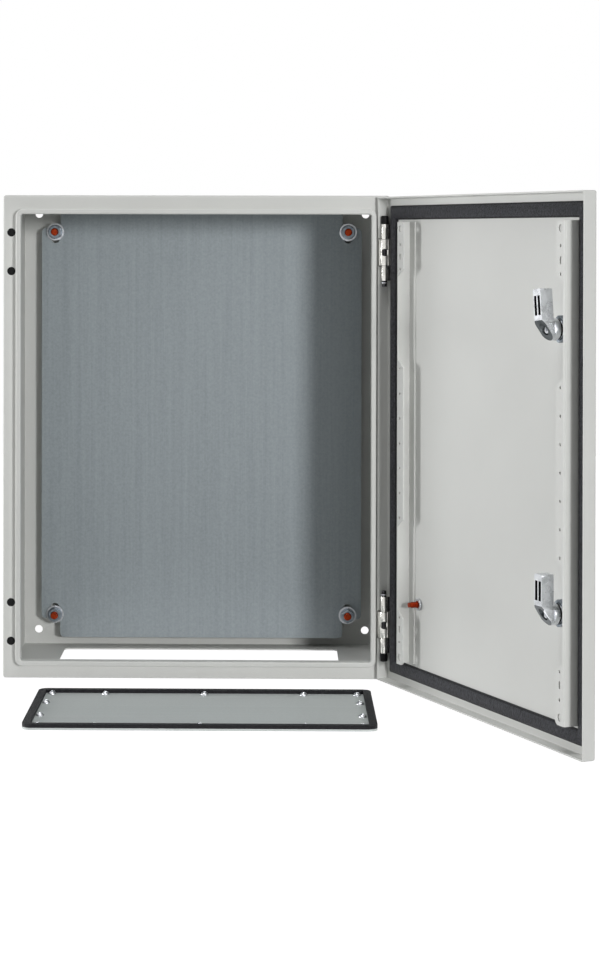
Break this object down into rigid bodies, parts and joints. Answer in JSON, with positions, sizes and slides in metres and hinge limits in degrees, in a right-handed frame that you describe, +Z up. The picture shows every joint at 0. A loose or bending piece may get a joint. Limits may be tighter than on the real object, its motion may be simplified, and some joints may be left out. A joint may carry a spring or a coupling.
{
  "type": "steel wall enclosure",
  "caption": "Pale grey steel wall enclosure with a hinged door, cam locks, foam seals, a galvanised mounting plate and a loose gland plate",
  "frame": {"origin": "centre of the four wall holes, on the rear outer face", "axes": "+X right seen from the front, +Y into the wall, +Z up"},
  "size_m": [0.5602, 0.5641, 0.5073],
  "materials": {
    "powder_coat": "satin, fine orange-peel",
    "galvanised_sheet": "galvanised, faint rolling streaks",
    "zinc_plating": "bright zinc plated",
    "die_cast_zinc": "polished plated casting",
    "copper_plating": "copper plated",
    "black_plastic": "matte",
    "foam_rubber": "foamed in place, matte skin"
  },
  "bodies": {
    "enclosure": {"body_shell": "powder_coat", "back_panel": "powder_coat", "mounting_plate": "galvanised_sheet", "plate_studs": "copper_plating", "plate_spacers": "zinc_plating", "plate_washers": "zinc_plating", "plate_nuts": "zinc_plating", "flange_plugs": "black_plastic", "hinge_bracket_upper": "powder_coat", "hinge_bracket_lower": "powder_coat", "hinge_screws": "zinc_plating"},
    "door": {"door_panel": "powder_coat", "door_seal": "foam_rubber", "rail_hinge_side": "powder_coat", "rail_lock_side": "powder_coat", "door_barrels_upper": "powder_coat", "door_barrels_lower": "powder_coat", "hinge_pin_upper": "zinc_plating", "hinge_pin_lower": "zinc_plating", "pin_caps": "black_plastic", "pin_clips": "zinc_plating", "earth_stud": "copper_plating", "earth_washer": "zinc_plating", "lock_housings": "die_cast_zinc", "lock_collar_seals": "black_plastic", "lock_washers": "zinc_plating", "lock_nuts": "zinc_plating"},
    "upper_cam": {"cam_upper": "die_cast_zinc", "lock_plug_upper": "die_cast_zinc", "cam_ring_upper": "black_plastic", "cam_screw_upper": "zinc_plating"},
    "lower_cam": {"cam_lower": "die_cast_zinc", "lock_plug_lower": "die_cast_zinc", "cam_ring_lower": "black_plastic", "cam_screw_lower": "zinc_plating"},
    "gland": {"gland_plate": "galvanised_sheet", "gland_seal": "foam_rubber", "gland_clinch_nuts": "zinc_plating"}
  },
  "joints": [
    {"name": "door_hinge", "type": "hinge", "parent": "enclosure", "child": "door", "pos_m": [0.194, -0.2025, 0], "axis": [0, 0, 1], "range_deg": [-114, 14]},
    {"name": "upper_cam_turn", "type": "hinge", "parent": "door", "child": "upper_cam", "pos_m": [0.34078, -0.51743, 0.126], "axis": [-0.9135, -0.4067, 0], "range_deg": [-96.5, 0]},
    {"name": "lower_cam_turn", "type": "hinge", "parent": "door", "child": "lower_cam", "pos_m": [0.34078, -0.51743, -0.126], "axis": [-0.9135, -0.4067, 0], "range_deg": [-90, 6.5]},
    {"name": "gland_slide", "type": "slide", "parent": "enclosure", "child": "gland", "axis": [-0.048, 0.9988, 0.0064], "range_m": [0, 0.22486]}
  ]
}
